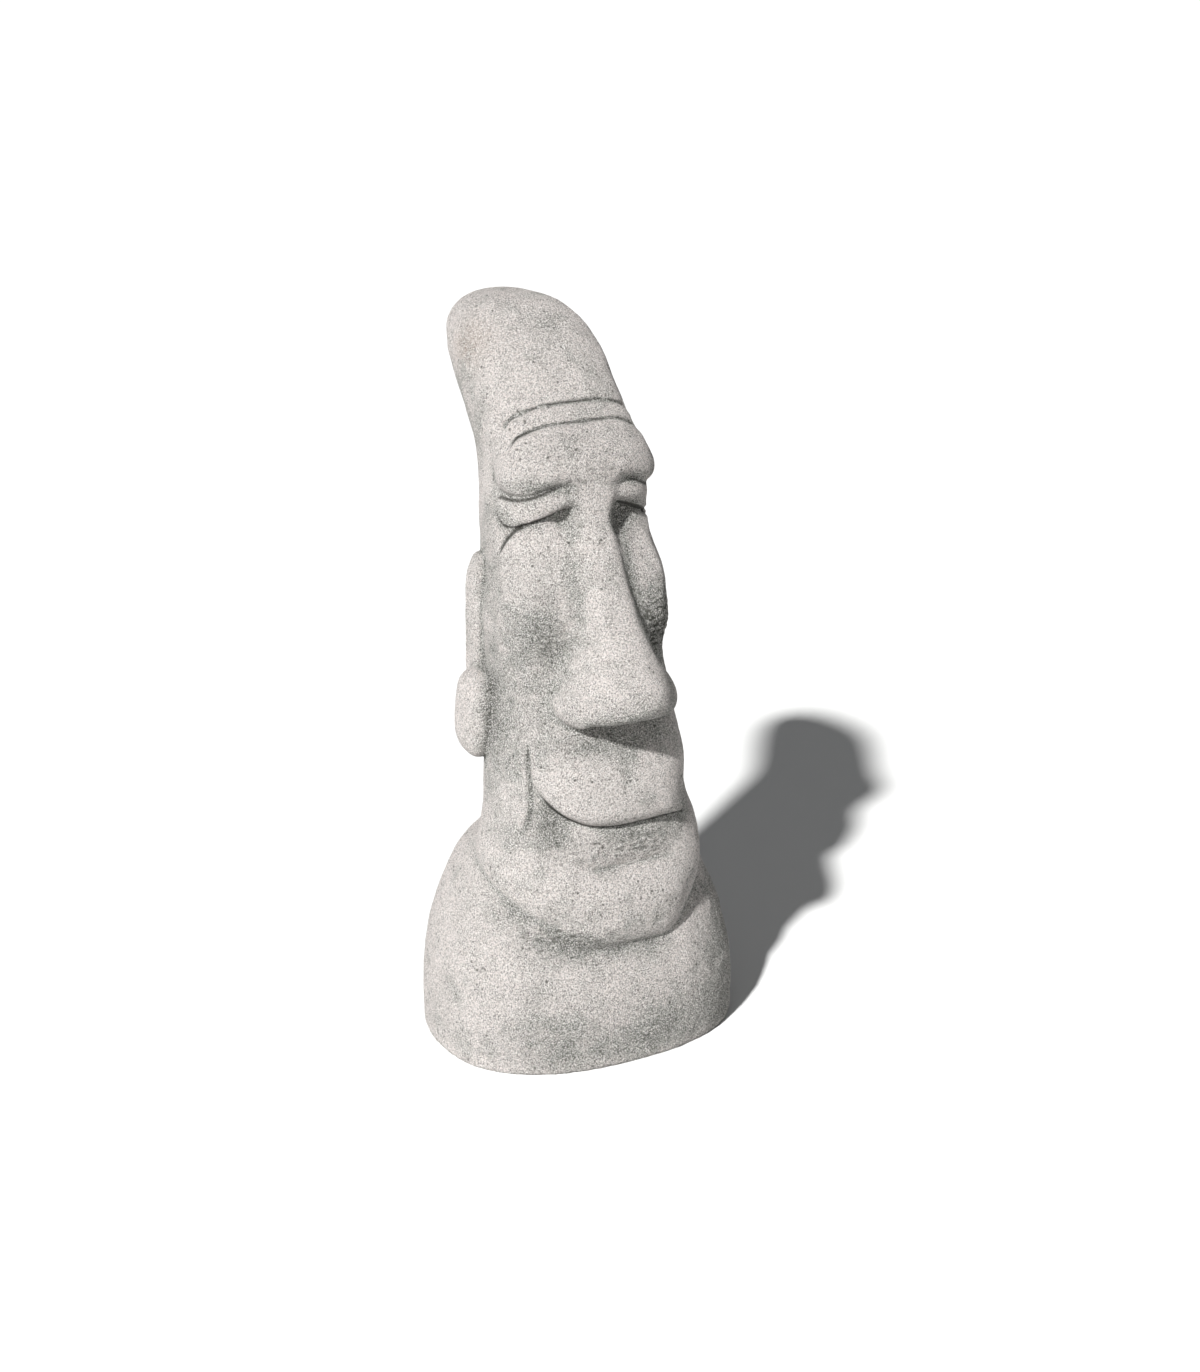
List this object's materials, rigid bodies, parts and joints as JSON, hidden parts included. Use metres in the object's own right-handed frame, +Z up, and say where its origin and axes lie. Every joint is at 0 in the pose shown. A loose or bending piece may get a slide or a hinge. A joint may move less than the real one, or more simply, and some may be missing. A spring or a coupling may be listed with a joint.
{
  "type": "moai statue",
  "caption": "Cast stone moai: a long carved head that leans back, on a bust with a flat underside.",
  "frame": {"origin": "on the ground under the middle of the bust, at the underside's middle plane", "axes": "+Z up, -Y toward the face, +X to the statue's left"},
  "size_m": [0.3901, 0.4294, 0.8928],
  "materials": {
    "cast_stone": "rough, weathered grey"
  },
  "bodies": {
    "root": {"moai_statue": "cast_stone"}
  },
  "joints": []
}
